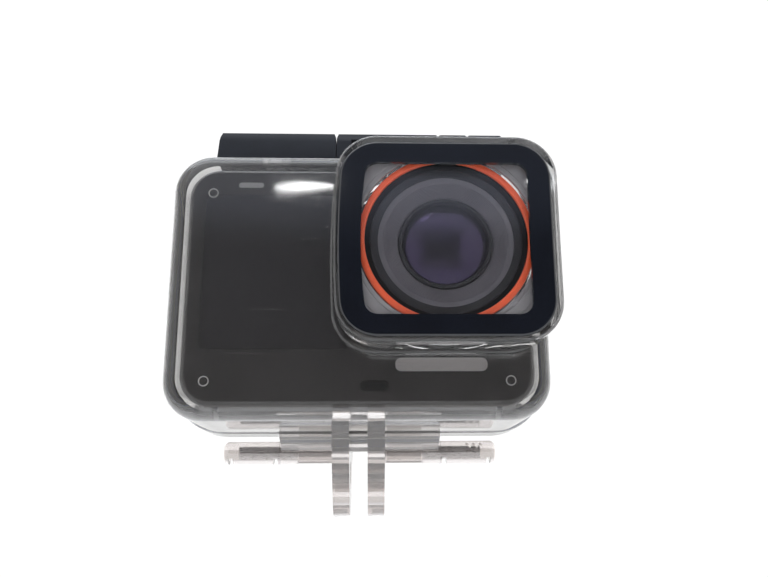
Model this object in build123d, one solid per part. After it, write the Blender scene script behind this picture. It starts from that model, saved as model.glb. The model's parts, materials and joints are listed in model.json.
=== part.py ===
from build123d import *
import math
import os

# Waterproof action camera: a small camera with a front and a rear screen, held in a
# clear dive housing. Millimetres. X runs to the right as the lens faces the viewer,
# Y runs backwards and Z up. The origin is the centre of the mount's cross bore.

# Two-finger mount
BORE_R = 2.6
EAR_R = 7.5
FINGER_GAP = 3.2
FINGER_THICK = 3.0
FINGER_OUT = FINGER_GAP / 2 + FINGER_THICK

# Clear front housing
SHELL_HALF = 33.7
SHELL_LOW = 8.4
SHELL_TOP = 57.1
SHELL_FRONT = -16.3
SHELL_BACK = 8.8
SHELL_CORNER = 7.0
SHELL_EDGE_R = 2.4
SIDE_WALL = 2.2
ROOM_LOW = 10.3
ROOM_TOP = 55.1
ROOM_FRONT = -14.1
ROOM_HALF = SHELL_HALF - SIDE_WALL
FLANGE_HALF = 36.4
FLANGE_LOW = 8.2
FLANGE_TOP = 59.0
FLANGE_CORNER = 10.0
FLANGE_FRONT = 4.8

# Lens port of the housing, and its window
PORT_X = (-4.4, 34.9)
PORT_Z = (20.4, 57.75)
PORT_CORNER = 7.3
PORT_BOW = 0.9
PORT_FRONT = -23.0
PORT_BACK = -12.5
PORT_BORE_R = 16.0
BEZEL_X = (-3.6, 33.6)
BEZEL_Z = (21.3, 56.2)
BEZEL_CORNER = 6.5
BEZEL_FRONT = -23.5
BEZEL_BACK = -22.6
OPENING_X = (0.4, 29.5)
OPENING_Z = (25.0, 52.35)
OPENING_CORNER = 2.3
PANE_BACK = -21.2
SEAL_BACK = -20.4
SEAL_BORE_R = 15.8
SEAT_GAP = 0.05

# Rear door and its hinge
DOOR_BACK = 13.2
DOOR_INSIDE = 10.8
HINGE_Y = 11.0
HINGE_Z = 4.9
KNUCKLE_R = 2.24
KNUCKLE_X = (1.6, 16.0)
WEB_HALF = 15.4
POCKET_X = (5.0, 12.4)
DOOR_KNUCKLE_R = 1.55
DOOR_KNUCKLE_SIDE_GAP = 0.3
PIN_R = 0.8
RUNNING_GAP = 0.05
PLUG_END = 27.0

# Top bar: shutter key on the left, door latch on the right
BAR_LOW = 61.0
BAR_TOP = 67.2
BAR_BEVEL = 65.1
BAR_FRONT = -5.0
BAR_SKIN = 1.5
KEY_X = (-28.4, -4.97)
KEY_BACK = 9.0
LATCH_X = (-4.82, 29.0)
BAR_LEAN = 0.4
LATCH_BACK = 16.2
PIVOT_Y = -0.9
PIVOT_Z = 62.4
PIVOT_R = 0.9
LUG_R = 2.0
LUG_X = ((-1.6, 1.4), (22.8, 25.8))
LOCK_X = (15.6, 21.5)
LOCK_TRAVEL = 2.0

# Plungers through the housing wall
SHUTTER_X = -16.5
SHUTTER_Y = 1.5
SHUTTER_R = 1.5
SHUTTER_BOSS_R = 4.0
SHUTTER_BOSS_TOP = 59.8
SHUTTER_END = 56.05
POWER_Y = 0.8
POWER_Z = 30.0
POWER_R = 1.1
POWER_HEAD_IN = 31.55

# The camera inside
CAM_HALF = 31.0
CAM_LOW = 10.9
CAM_TOP = 54.6
CAM_FRONT = -13.75
CAM_BACK = 8.4
CAM_CORNER = 5.5
CAM_WALL = 1.7
FRONT_PLATE_BACK = -11.6
REAR_PLATE_FRONT = 6.0
LENS_X = 15.3
LENS_Z = 39.1
LENS_FRONT = -20.6
LENS_R = 15.55
RING_R = (14.3, 15.45)
BOARD_HALF = 9.8
SCREW_X = (-27.2, 27.2)
SCREW_Z = (14.7, 50.8)
GLASS_X = (-27.8, -1.7)
GLASS_Z = (20.9, 49.5)


def slab(outline, front, back):
    """Solid with an XZ outline, from Y = front to Y = back."""
    return extrude(Plane.XZ.offset(-back) * outline, amount=back - front)


def panel(xs, zs, corner=0.0, inset=0.0):
    """Rectangle in the XZ plane, with rounded corners where corner is not zero."""
    width = xs[1] - xs[0] - 2 * inset
    height = zs[1] - zs[0] - 2 * inset
    place = Pos((xs[0] + xs[1]) / 2, (zs[0] + zs[1]) / 2)
    if corner > inset:
        return place * RectangleRounded(width, height, corner - inset)
    return place * Rectangle(width, height)


def bowed_panel(xs, zs, corner, inset=0.0):
    """Rounded panel whose left side bows outwards, as on the lens port."""
    left = xs[0] + inset
    right = xs[1] - inset
    low = zs[0] + inset
    top = zs[1] - inset
    side = ThreePointArc((left + PORT_BOW, low), (left, (low + top) / 2), (left + PORT_BOW, top))
    rest = Polyline((left + PORT_BOW, top), (right, top), (right, low), (left + PORT_BOW, low))
    outline = make_face(Curve() + [side, rest])
    return fillet(outline.vertices(), corner - inset)


def block(xs, ys, zs):
    """Plain box between two corners."""
    middle = Pos(sum(xs) / 2, sum(ys) / 2, sum(zs) / 2)
    return middle * Box(xs[1] - xs[0], ys[1] - ys[0], zs[1] - zs[0])


def rod_x(xs, y, z, radius):
    """Cylinder along X."""
    return Pos(sum(xs) / 2, y, z) * Rot(0, 90, 0) * Cylinder(radius, xs[1] - xs[0])


def rod_y(x, ys, z, radius):
    """Cylinder along Y."""
    return Pos(x, sum(ys) / 2, z) * Rot(90, 0, 0) * Cylinder(radius, ys[1] - ys[0])


def rod_z(x, y, zs, radius):
    """Cylinder along Z."""
    return Pos(x, y, sum(zs) / 2) * Cylinder(radius, zs[1] - zs[0])


def lens_disc(radius, front, back):
    """Disc on the lens axis."""
    return rod_y(LENS_X, (front, back), LENS_Z, radius)


def lens_tube(inner, outer, front, back):
    """Tube on the lens axis."""
    return lens_disc(outer, front, back) - lens_disc(inner, front - 1, back + 1)


def coil_spring(radius, wire, length, turns):
    """Compression spring along +Z, standing on Z = 0."""
    rise = length - 2 * wire
    path = Pos(0, 0, wire) * Helix(pitch=rise / turns, height=rise, radius=radius)
    start = Plane(origin=path @ 0, z_dir=path % 0)
    return sweep(start * Circle(wire), path=path, is_frenet=True)


def both_sides(shape):
    """A shape and its mirror image across X = 0."""
    return [shape, mirror(shape, Plane.YZ)]


# Clear housing

def mount_finger(left):
    """One finger of the mount, with its web swept up to the housing's front edge."""
    web_top = SHELL_LOW + 0.6
    front_top = (-14.0, web_top)
    tangent = math.radians(206)
    ear_front = (EAR_R * math.cos(tangent), EAR_R * math.sin(tangent))
    belly = ((front_top[0] + ear_front[0]) / 2 - 0.9, (front_top[1] + ear_front[1]) / 2 - 0.6)
    outline = make_face(Curve() + [
        ThreePointArc(front_top, belly, ear_front),
        ThreePointArc(ear_front, (0, -EAR_R), (EAR_R, 0)),
        Polyline((EAR_R, 0), (EAR_R, web_top), front_top),
    ])
    return extrude(Plane.YZ.offset(left) * outline, amount=FINGER_THICK)


def hinge_web():
    """Web that carries the housing's knuckles under the rear door."""
    profile = make_face(Polyline((3.0, SHELL_LOW + 0.5), (3.0, 7.4), (8.6, HINGE_Z + 0.05),
                                 (10.6, HINGE_Z + 0.05), (10.6, 7.9), (SHELL_BACK - 0.2, 7.9),
                                 (SHELL_BACK - 0.2, SHELL_LOW + 0.5), (3.0, SHELL_LOW + 0.5)))
    return extrude(Plane.YZ.offset(-WEB_HALF) * profile, amount=2 * WEB_HALF)


def housing_knuckle():
    """Right-hand knuckle of the housing: two full rings and a front skirt between them."""
    barrel = rod_x(KNUCKLE_X, HINGE_Y, HINGE_Z, KNUCKLE_R)
    open_low = block(POCKET_X, (HINGE_Y - 0.75, HINGE_Y + 3), (HINGE_Z - 3, HINGE_Z))
    open_back = block(POCKET_X, (HINGE_Y - 0.3, HINGE_Y + 3), (HINGE_Z - 0.1, HINGE_Z + 3))
    room = rod_x(POCKET_X, HINGE_Y, HINGE_Z, DOOR_KNUCKLE_R + 0.15)
    return barrel - open_low - open_back - room


def hinge_rooms():
    """What the web gives up to the door's knuckles."""
    room = rod_x(POCKET_X, HINGE_Y, HINGE_Z, DOOR_KNUCKLE_R + 0.15)
    pin_hole = rod_x((2.4, KNUCKLE_X[1] + 1), HINGE_Y, HINGE_Z, PIN_R)
    return both_sides(room) + both_sides(pin_hole)


def shell_outer():
    """Outside of the housing box, its front edge rounded."""
    outline = panel((-SHELL_HALF, SHELL_HALF), (SHELL_LOW, SHELL_TOP), SHELL_CORNER)
    box = slab(outline, SHELL_FRONT, SHELL_BACK)
    return fillet(box.faces().sort_by(Axis.Y)[0].edges(), SHELL_EDGE_R)


def shell_flange():
    """Wider rim at the back, which the door closes on."""
    outline = panel((-FLANGE_HALF, FLANGE_HALF), (FLANGE_LOW, FLANGE_TOP), FLANGE_CORNER)
    rim = slab(outline, FLANGE_FRONT, SHELL_BACK)
    return fillet(rim.faces().sort_by(Axis.Y)[0].edges(), 0.9)


def port_block():
    """Square-shouldered lens port, proud of the housing's face, side and top."""
    body = slab(bowed_panel(PORT_X, PORT_Z, PORT_CORNER), PORT_FRONT, PORT_BACK)
    front = fillet(body.faces().sort_by(Axis.Y)[0].edges(), 0.55)
    return fillet(front.faces().sort_by(Axis.Y)[-1].edges(), 1.2)


def port_foot():
    """Low step where the port stands on the housing's face."""
    outline = bowed_panel((PORT_X[0] - 0.8, 33.4), (PORT_Z[0] - 0.8, 56.6), 7.6)
    foot = slab(outline, SHELL_FRONT - 0.7, PORT_BACK)
    return fillet(foot.faces().sort_by(Axis.Y)[0].edges(), 0.5)


def port_rooms():
    """Round bore for the lens, and the two seats for the pane and the bezel."""
    seat = bowed_panel(BEZEL_X, BEZEL_Z, BEZEL_CORNER, -SEAT_GAP)
    return [lens_disc(PORT_BORE_R, PORT_FRONT, ROOM_FRONT + 1), slab(seat, PORT_FRONT - 1, SEAL_BACK)]


def room():
    """Inside of the housing, open at the back."""
    outline = panel((-ROOM_HALF, ROOM_HALF), (ROOM_LOW, ROOM_TOP), 5.8)
    return slab(outline, ROOM_FRONT, SHELL_BACK + 1)


def camera_rails():
    """Two ribs under the camera, along the housing's floor."""
    rail = block((23.9, 24.9), (ROOM_FRONT - 0.2, 2.0), (ROOM_LOW - 0.2, CAM_LOW - 0.1))
    return both_sides(rail)


def ejector_rings():
    """Rings that the mould's ejector pins leave inside the front wall."""
    rings = []
    for x, z in ((-26.6, 15.2), (26.6, 15.2), (-26.6, 49.8)):
        disc = rod_y(x, (ROOM_FRONT - 0.1, ROOM_FRONT + 0.15), z, 0.85)
        rings.append(disc - rod_y(x, (ROOM_FRONT - 1, ROOM_FRONT + 1), z, 0.5))
    return rings


def latch_lug(xs):
    """Lug on top of the housing that carries the latch's pivot."""
    eye = rod_x(xs, PIVOT_Y, PIVOT_Z, LUG_R)
    stem = block(xs, (PIVOT_Y - 1.5, PIVOT_Y + 1.5), (SHELL_TOP - 0.4, PIVOT_Z))
    return eye + stem - rod_x((xs[0] - 1, xs[1] + 1), PIVOT_Y, PIVOT_Z, PIVOT_R)


def lock_catch():
    """Hooked post that the latch lock's toe sits under."""
    post = block((12.5, 14.5), (5.4, 8.6), (FLANGE_TOP - 0.4, 61.0))
    return post + block((14.4, 16.9), (5.4, 8.6), (60.35, 61.0))


def key_guides():
    """Posts that keep the shutter key from turning."""
    return [rod_z(x, SHUTTER_Y, (SHELL_TOP - 0.4, 63.2), 1.1) for x in (-24.5, -9.0)]


def shutter_rooms():
    """Bore for the shutter plunger, and the room for its clip inside."""
    bore = rod_z(SHUTTER_X, SHUTTER_Y, (ROOM_TOP - 1, SHUTTER_BOSS_TOP + 1), SHUTTER_R + RUNNING_GAP)
    return [bore, rod_z(SHUTTER_X, SHUTTER_Y, (ROOM_TOP - 1, 57.4), 2.9)]


def power_rooms():
    """Bore for the side plunger, with a seat for its cap and one for its head."""
    bore = rod_x((ROOM_HALF - 1, SHELL_HALF + 2), POWER_Y, POWER_Z, POWER_R + RUNNING_GAP)
    cap_seat = rod_x((33.0, SHELL_HALF + 2), POWER_Y, POWER_Z, 3.1)
    head_seat = rod_x((ROOM_HALF - 1, 32.1), POWER_Y, POWER_Z, 2.3)
    return [bore, cap_seat, head_seat]


def front_housing():
    """Clear front half of the dive housing, with mount, hinge, port and lugs in one moulding."""
    shell = shell_outer() + shell_flange() + port_block() + port_foot() + hinge_web()
    shell += rod_z(SHUTTER_X, SHUTTER_Y, (SHELL_TOP - 0.4, SHUTTER_BOSS_TOP), SHUTTER_BOSS_R)
    for left in (-FINGER_OUT, FINGER_GAP / 2):
        shell += mount_finger(left)
    shell -= room()
    for cut in port_rooms() + hinge_rooms() + shutter_rooms() + power_rooms():
        shell -= cut
    shell -= rod_x((-10, 10), 0, 0, BORE_R)
    pin_holes = both_sides(rod_x((2.4, KNUCKLE_X[1] + 1), HINGE_Y, HINGE_Z, PIN_R))
    for knuckle in both_sides(housing_knuckle()):
        shell += knuckle - pin_holes[0] - pin_holes[1]
    for rib in camera_rails() + ejector_rings() + key_guides():
        shell += rib
    for xs in LUG_X:
        shell += latch_lug(xs)
    return shell + lock_catch()


def lens_window():
    """Flat clear pane of the lens port."""
    return slab(bowed_panel(BEZEL_X, BEZEL_Z, BEZEL_CORNER), BEZEL_BACK, PANE_BACK)


def window_bezel():
    """Glossy frame pressed over the pane."""
    frame = slab(bowed_panel(BEZEL_X, BEZEL_Z, BEZEL_CORNER), BEZEL_FRONT, BEZEL_BACK)
    frame = fillet(frame.faces().sort_by(Axis.Y)[0].edges(), 0.35)
    opening = bowed_panel(OPENING_X, OPENING_Z, OPENING_CORNER)
    return frame - slab(opening, BEZEL_FRONT - 1, BEZEL_BACK + 1)


def window_seal():
    """Pale seal behind the pane, with stepped rings around the lens."""
    seal = slab(bowed_panel(BEZEL_X, BEZEL_Z, BEZEL_CORNER, 0.2), PANE_BACK, SEAL_BACK)
    seal -= lens_disc(SEAL_BORE_R, PANE_BACK - 1, SEAL_BACK + 1)
    for step in range(2):
        inner = SEAL_BORE_R + 0.7 + 1.9 * step
        seal -= lens_tube(inner, inner + 0.25, PANE_BACK - 1, PANE_BACK + 0.15)
    return seal


# Hinge

def hinge_plug():
    """Right-hand end of the hinge: a capped barrel that holds one steel pin."""
    barrel = rod_x((KNUCKLE_X[1] + RUNNING_GAP, PLUG_END), HINGE_Y, HINGE_Z, KNUCKLE_R)
    barrel = fillet(barrel.faces().sort_by(Axis.X)[-1].edges(), 1.1)
    for left in (KNUCKLE_X[1] + 0.3, 25.1):
        barrel -= block((left, left + 0.9), (HINGE_Y - 3, HINGE_Y + 3), (HINGE_Z - 3, HINGE_Z - 1.2))
    return barrel - rod_x((KNUCKLE_X[1] - 1, 24.0), HINGE_Y, HINGE_Z, PIN_R)


def left_hinge_plug():
    """Plain end of the hinge."""
    return mirror(hinge_plug(), Plane.YZ)


def right_hinge_plug():
    """End of the hinge with three arrow ribs that show which way it pulls out."""
    plug = hinge_plug()
    for step in range(3):
        tip = 24.6 - 1.35 * step
        for way in (-1, 1):
            rib = Pos(tip - 0.45, HINGE_Y - KNUCKLE_R + 0.1, HINGE_Z + 0.75 + 0.42 * way)
            plug += rib * Rot(0, 38 * way, 0) * Box(1.25, 0.6, 0.32)
    return plug


def hinge_pins():
    """The two steel pins, one from each end."""
    pins = both_sides(rod_x((2.5, 23.9), HINGE_Y, HINGE_Z, PIN_R))
    return Compound(pins)


# Rear door

def door_knuckle():
    """Right-hand knuckle of the door, and the web up to the door."""
    xs = (POCKET_X[0] + DOOR_KNUCKLE_SIDE_GAP, POCKET_X[1] - DOOR_KNUCKLE_SIDE_GAP)
    barrel = rod_x(xs, HINGE_Y, HINGE_Z, DOOR_KNUCKLE_R)
    web = block(xs, (HINGE_Y, HINGE_Y + DOOR_KNUCKLE_R), (HINGE_Z, FLANGE_LOW + 0.6))
    return barrel + web - rod_x((0, 20), HINGE_Y, HINGE_Z, PIN_R + RUNNING_GAP)


def gasket_ring(grow):
    """Outline ring of the door's gasket, or of its groove."""
    outer = panel((-34.2 - grow, 34.2 + grow), (8.8 - grow, 57.6 + grow), 8.6 + grow)
    inner = panel((-33.0 + grow, 33.0 - grow), (9.9 + grow, 56.4 - grow), 7.4 - grow)
    return outer - inner


def rear_door():
    """Clear door with a shallow recess for the camera's back."""
    outline = panel((-FLANGE_HALF, FLANGE_HALF), (FLANGE_LOW, FLANGE_TOP), FLANGE_CORNER)
    door = slab(outline, SHELL_BACK, DOOR_BACK)
    door = fillet(door.faces().sort_by(Axis.Y)[-1].edges(), 1.4)
    door -= slab(panel((-30.4, 30.4), (12.0, 54.0), 5.0), SHELL_BACK - 1, DOOR_INSIDE)
    door -= slab(gasket_ring(0.05), SHELL_BACK - 1, SHELL_BACK + 1.3)
    for knuckle in both_sides(door_knuckle()):
        door += knuckle
    return door


def door_gasket():
    """Silicone ring in the door's groove."""
    return slab(gasket_ring(0.0), SHELL_BACK, SHELL_BACK + 1.3)


def rear_pads():
    """Four silicone buttons in the door that steady the camera."""
    pads = []
    for x in (-25.0, 25.0):
        for z in (16.5, 49.5):
            pad = rod_y(x, (CAM_BACK + 0.1, DOOR_INSIDE), z, 2.2)
            pads.append(fillet(pad.faces().sort_by(Axis.Y)[0].edges(), 0.4))
    return Compound(pads)


# Latch and lock

def bar_block(xs, leans, back):
    """Length of the bar, with its front bevel and its end faces leaning in."""
    shoulder = BAR_TOP - 1.1
    side = make_face(Polyline((BAR_FRONT, BAR_LOW), (BAR_FRONT, BAR_BEVEL), (BAR_FRONT + 1.0, BAR_TOP),
                              (back - 0.8, BAR_TOP), (back, shoulder), (back, BAR_LOW),
                              (BAR_FRONT, BAR_LOW)))
    left, right = xs
    left_top = left + leans[0]
    right_top = right - leans[1]
    front = make_face(Polyline((left, BAR_LOW), (left_top, shoulder), (left_top + 0.35, BAR_TOP),
                               (right_top - 0.35, BAR_TOP), (right_top, shoulder), (right, BAR_LOW),
                               (left, BAR_LOW)))
    return extrude(Plane.YZ.offset(left) * side, amount=right - left) & slab(front, BAR_FRONT - 1, back + 1)


def latch_bearings():
    """Blocks beside the lugs that ride on the pivot pin."""
    parts = []
    for xs in ((1.7, 4.4), (19.8, 22.5)):
        eye = rod_x(xs, PIVOT_Y, PIVOT_Z, 1.7)
        parts.append(eye + block(xs, (PIVOT_Y - 1.7, PIVOT_Y + 1.7), (PIVOT_Z, BAR_TOP - 1)))
    return parts


def latch_lever():
    """Hollow lever over the top of the housing, notched beside the lock."""
    lever = bar_block(LATCH_X, (0, BAR_LEAN), LATCH_BACK)
    roof = BAR_TOP - BAR_SKIN
    inside_x = (LATCH_X[0] + BAR_SKIN, LATCH_X[1] - BAR_LEAN - BAR_SKIN)
    lever -= block(inside_x, (BAR_FRONT + BAR_SKIN, LATCH_BACK - BAR_SKIN), (BAR_LOW - 1, roof))
    for part in latch_bearings():
        lever += part
    for low, high in LUG_X:
        lever -= block((low - 0.3, high + 0.3), (BAR_FRONT - 1, PIVOT_Y + 2.6), (BAR_LOW - 1, roof))
    slot_x = (LOCK_X[0] - 0.1, LOCK_X[1] + LOCK_TRAVEL + 0.1)
    lever -= block(slot_x, (-0.1, 8.1), (BAR_TOP - 3, BAR_TOP + 1))
    for x in LOCK_X:
        notch = Pos(x, BAR_FRONT + 1, BAR_TOP) * Rot(0, 45, 0) * Box(0.65, 4.6, 0.65)
        lever -= notch
    return lever - rod_x((LATCH_X[0] + 0.5, LATCH_X[1] + 1), PIVOT_Y, PIVOT_Z, PIVOT_R + RUNNING_GAP)


def latch_pivot_pin():
    """Steel pin through the two lugs."""
    return rod_x((LATCH_X[0] + 0.6, LATCH_X[1] - 0.5), PIVOT_Y, PIVOT_Z, PIVOT_R)


def latch_hook():
    """Steel claw under the lever that holds the door shut from behind."""
    claw = block((3.0, 21.0), (DOOR_BACK + 0.15, 14.6), (54.8, BAR_TOP - BAR_SKIN))
    foot = block((3.0, 21.0), (9.7, DOOR_BACK + 0.3), (63.8, BAR_TOP - BAR_SKIN))
    return claw + foot


def lock_slider():
    """Sliding lock in the lever, with a toe under the housing's catch."""
    button = block(LOCK_X, (0.0, 8.0), (BAR_TOP - 1.6, BAR_TOP))
    for step in range(4):
        left = LOCK_X[0] + 0.9 + 1.2 * step
        button += block((left, left + 0.6), (1.2, 6.8), (BAR_TOP - 0.2, BAR_TOP + 0.35))
    button += block((14.9, 22.2), (1.3, 9.3), (63.9, BAR_TOP - BAR_SKIN - 0.05))
    button += block((21.2, 22.2), (3.0, 6.0), (62.2, 64.0))
    button += block((17.5, 19.5), (5.6, 8.4), (59.25, 64.0))
    return button + block((15.9, 17.6), (5.6, 8.4), (59.25, 60.2))


def lock_spring():
    """Spring that pushes the lock towards its catch."""
    return Pos(22.25, 4.5, 63.5) * Rot(0, 90, 0) * coil_spring(1.05, 0.18, 4.8, 5)


# Shutter key and plunger

def shutter_key():
    """Wide key over the shutter plunger, with guide sleeves inside."""
    key = bar_block(KEY_X, (BAR_LEAN, 0), KEY_BACK)
    roof = BAR_TOP - BAR_SKIN
    inside_x = (KEY_X[0] + BAR_LEAN + BAR_SKIN, KEY_X[1] - BAR_SKIN)
    key -= block(inside_x, (BAR_FRONT + BAR_SKIN, KEY_BACK - BAR_SKIN), (BAR_LOW - 1, roof))
    for x in (-24.5, -9.0):
        key += rod_z(x, SHUTTER_Y, (62.0, BAR_TOP - 1), 2.0) - rod_z(x, SHUTTER_Y, (60, roof), 1.2)
    key += rod_z(SHUTTER_X, SHUTTER_Y, (62.4, BAR_TOP - 1), 2.05)
    return key - rod_z(SHUTTER_X, SHUTTER_Y, (60, roof), SHUTTER_R)


def shutter_plunger():
    """Steel plunger with one groove for its seal and one for its clip."""
    rod = rod_z(SHUTTER_X, SHUTTER_Y, (SHUTTER_END, BAR_TOP - BAR_SKIN), SHUTTER_R)
    for low, high, floor in ((59.1, 59.5, 1.15), (56.8, 57.2, 1.1)):
        groove = rod_z(SHUTTER_X, SHUTTER_Y, (low, high), SHUTTER_R + 1)
        rod -= groove - rod_z(SHUTTER_X, SHUTTER_Y, (low - 1, high + 1), floor)
    return rod


def shutter_o_ring():
    """Seal in the plunger's upper groove."""
    return Pos(SHUTTER_X, SHUTTER_Y, 59.3) * Torus(1.33, 0.17)


def shutter_clip():
    """Retaining clip inside the housing's top."""
    ring = rod_z(SHUTTER_X, SHUTTER_Y, (56.83, 57.17), 2.5) - rod_z(SHUTTER_X, SHUTTER_Y, (56, 58), 1.12)
    return ring - block((SHUTTER_X, SHUTTER_X + 4), (SHUTTER_Y - 0.7, SHUTTER_Y + 0.7), (56, 58))


def shutter_spring():
    """Return spring between the housing's boss and the key."""
    return Pos(SHUTTER_X, SHUTTER_Y, SHUTTER_BOSS_TOP) * coil_spring(2.6, 0.25, 5.2, 5)


# Side plunger

def power_cap():
    """Round cap outside the housing."""
    cap = rod_x((35.2, 36.1), POWER_Y, POWER_Z, 2.8)
    return fillet(cap.faces().sort_by(Axis.X)[-1].edges(), 0.35)


def power_plunger():
    """Stem through the wall, with a head inside the housing."""
    stem = rod_x((POWER_HEAD_IN, 35.2), POWER_Y, POWER_Z, POWER_R)
    head = rod_x((POWER_HEAD_IN, POWER_HEAD_IN + 0.5), POWER_Y, POWER_Z, 2.0)
    groove = rod_x((32.55, 32.9), POWER_Y, POWER_Z, 2) - rod_x((32, 34), POWER_Y, POWER_Z, 0.8)
    return stem + head - groove


def power_o_ring():
    """Seal in the stem's groove."""
    return Pos(32.72, POWER_Y, POWER_Z) * Rot(0, 90, 0) * Torus(0.96, 0.15)


def power_spring():
    """Return spring under the cap."""
    return Pos(33.0, POWER_Y, POWER_Z) * Rot(0, 90, 0) * coil_spring(1.75, 0.16, 2.2, 3)


# Camera casing

def camera_slab(front, back):
    """Slice of the camera's outside."""
    return slab(panel((-CAM_HALF, CAM_HALF), (CAM_LOW, CAM_TOP), CAM_CORNER), front, back)


def camera_hollow(front, back):
    """Slice of the camera's inside."""
    outline = panel((-CAM_HALF, CAM_HALF), (CAM_LOW, CAM_TOP), CAM_CORNER, CAM_WALL)
    return slab(outline, front, back)


def pill(xs, zs, front, back):
    """Slot with round ends in the front plate."""
    return slab(panel(xs, zs, (zs[1] - zs[0]) / 2 - 0.01), front, back)


def camera_front_cover():
    """Front plate with the lens hole, the front screen's seat and two slots."""
    plate = camera_slab(CAM_FRONT, FRONT_PLATE_BACK)
    plate = fillet(plate.faces().sort_by(Axis.Y)[0].edges(), 0.9)
    plate -= lens_disc(14.4, CAM_FRONT - 1, FRONT_PLATE_BACK + 1)
    plate -= slab(panel(GLASS_X, GLASS_Z, 1.1, -0.05), CAM_FRONT - 1, CAM_FRONT + 0.95)
    plate -= slab(panel(GLASS_X, GLASS_Z, 0, 2.0), CAM_FRONT - 1, FRONT_PLATE_BACK + 1)
    plate -= pill((-22.2, -17.5), (51.0, 52.2), CAM_FRONT - 1, CAM_FRONT + 1.2)
    return plate - pill((0.25, 5.3), (13.4, 15.3), CAM_FRONT - 1, CAM_FRONT + 1.2)


def camera_body():
    """Casing tube between the two covers, with its door and button openings."""
    tube = camera_slab(FRONT_PLATE_BACK, REAR_PLATE_FRONT)
    tube -= camera_hollow(FRONT_PLATE_BACK - 1, REAR_PLATE_FRONT + 1)
    for x in SCREW_X:
        for z in SCREW_Z:
            boss = rod_y(x, (-0.8, REAR_PLATE_FRONT), z, 2.2)
            tube += boss - rod_y(x, (0.0, REAR_PLATE_FRONT + 1), z, 0.7)
    tube -= block((-25.3, 5.5), (-10.6, -0.1), (CAM_LOW - 1, 12.0))
    tube -= block((-24.3, 4.3), (-10.0, -0.7), (CAM_LOW - 1, 13.5))
    tube -= block((-CAM_HALF - 1, -30.1), (-3.6, 4.4), (19.0, 41.0))
    tube -= block((-CAM_HALF - 1, -29.0), (-2.6, 3.4), (20.2, 39.8))
    tube -= rod_z(SHUTTER_X, SHUTTER_Y, (CAM_TOP - 3, CAM_TOP + 1), 3.6)
    tube -= rod_x((CAM_HALF - 0.7, CAM_HALF + 1), POWER_Y, POWER_Z, 3.0)
    return tube - rod_x((CAM_HALF - 3, CAM_HALF + 1), POWER_Y, POWER_Z, 1.9)


def camera_rear_cover():
    """Rear plate with the touch screen's seat and the screw holes."""
    plate = camera_slab(REAR_PLATE_FRONT, CAM_BACK)
    plate = fillet(plate.faces().sort_by(Axis.Y)[-1].edges(), 1.0)
    plate -= slab(panel((-24.0, 24.0), (15.4, 50.1), 1.5, -0.05), CAM_BACK - 0.95, CAM_BACK + 1)
    plate -= slab(panel((-22.4, 22.4), (17.2, 48.3)), REAR_PLATE_FRONT - 1, CAM_BACK + 1)
    for x in SCREW_X:
        for z in SCREW_Z:
            plate -= rod_y(x, (REAR_PLATE_FRONT - 1, CAM_BACK + 1), z, 0.75)
            plate -= rod_y(x, (CAM_BACK - 1.0, CAM_BACK + 1), z, 1.35)
    return plate


def camera_screws():
    """Four screws that hold the rear cover."""
    screws = []
    for x in SCREW_X:
        for z in SCREW_Z:
            shank = rod_y(x, (0.3, CAM_BACK - 0.4), z, 0.7)
            head = rod_y(x, (CAM_BACK - 1.0, CAM_BACK - 0.2), z, 1.3)
            slot = block((x - 0.7, x + 0.7), (CAM_BACK - 0.55, CAM_BACK), (z - 0.15, z + 0.15))
            cross = block((x - 0.15, x + 0.15), (CAM_BACK - 0.55, CAM_BACK), (z - 0.7, z + 0.7))
            screws.append(shank + head - slot - cross)
    return Compound(screws)


def battery_door():
    """Cover under the battery, with a finger notch."""
    plate = block((-25.2, 5.4), (-10.5, -0.2), (CAM_LOW, 11.95))
    plug = block((-24.1, 4.1), (-9.8, -0.9), (11.9, 12.7))
    return plate + plug - rod_z(2.0, -5.4, (CAM_LOW - 1, CAM_LOW + 0.5), 2.2)


def side_door():
    """Cover over the socket and the memory card."""
    plate = block((-CAM_HALF, -30.15), (-3.5, 4.3), (19.1, 40.9))
    plug = block((-30.2, -29.2), (-2.5, 3.3), (20.3, 39.7))
    return plate + plug - block((-CAM_HALF - 1, -30.6), (-1.4, 2.2), (38.6, 40.0))


def camera_shutter_button():
    """Round button on the camera's top."""
    cap = rod_z(SHUTTER_X, SHUTTER_Y, (52.2, 55.0), 3.5)
    cap = fillet(cap.faces().sort_by(Axis.Z)[-1].edges(), 0.3)
    return cap + rod_z(SHUTTER_X, SHUTTER_Y, (51.6, 52.3), 4.2)


def camera_power_button():
    """Round button on the camera's side."""
    cap = rod_x((28.6, 30.85), POWER_Y, POWER_Z, 1.8)
    return cap + rod_x((28.2, 28.7), POWER_Y, POWER_Z, 2.5)


# Screens and trim

def front_screen_glass():
    """Glass over the front screen."""
    return slab(panel(GLASS_X, GLASS_Z, 1.1), CAM_FRONT + 0.05, CAM_FRONT + 0.95)


def front_display():
    """Display module behind the front glass."""
    return slab(panel(GLASS_X, GLASS_Z, 0, 2.3), CAM_FRONT + 1.0, -10.6)


def touch_screen_glass():
    """Glass of the rear touch screen."""
    return slab(panel((-24.0, 24.0), (15.4, 50.1), 1.5), CAM_BACK - 0.95, CAM_BACK - 0.05)


def rear_display():
    """Display module behind the touch glass."""
    return slab(panel((-22.2, 22.2), (17.4, 48.1)), 5.2, CAM_BACK - 1.0)


def status_light():
    """Light pipe in the upper slot."""
    return pill((-22.15, -17.55), (51.05, 52.15), CAM_FRONT + 0.25, CAM_FRONT + 1.2)


def front_microphone():
    """Microphone mesh in the lower slot."""
    return pill((0.3, 5.25), (13.45, 15.25), CAM_FRONT + 0.6, CAM_FRONT + 1.2)


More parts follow.
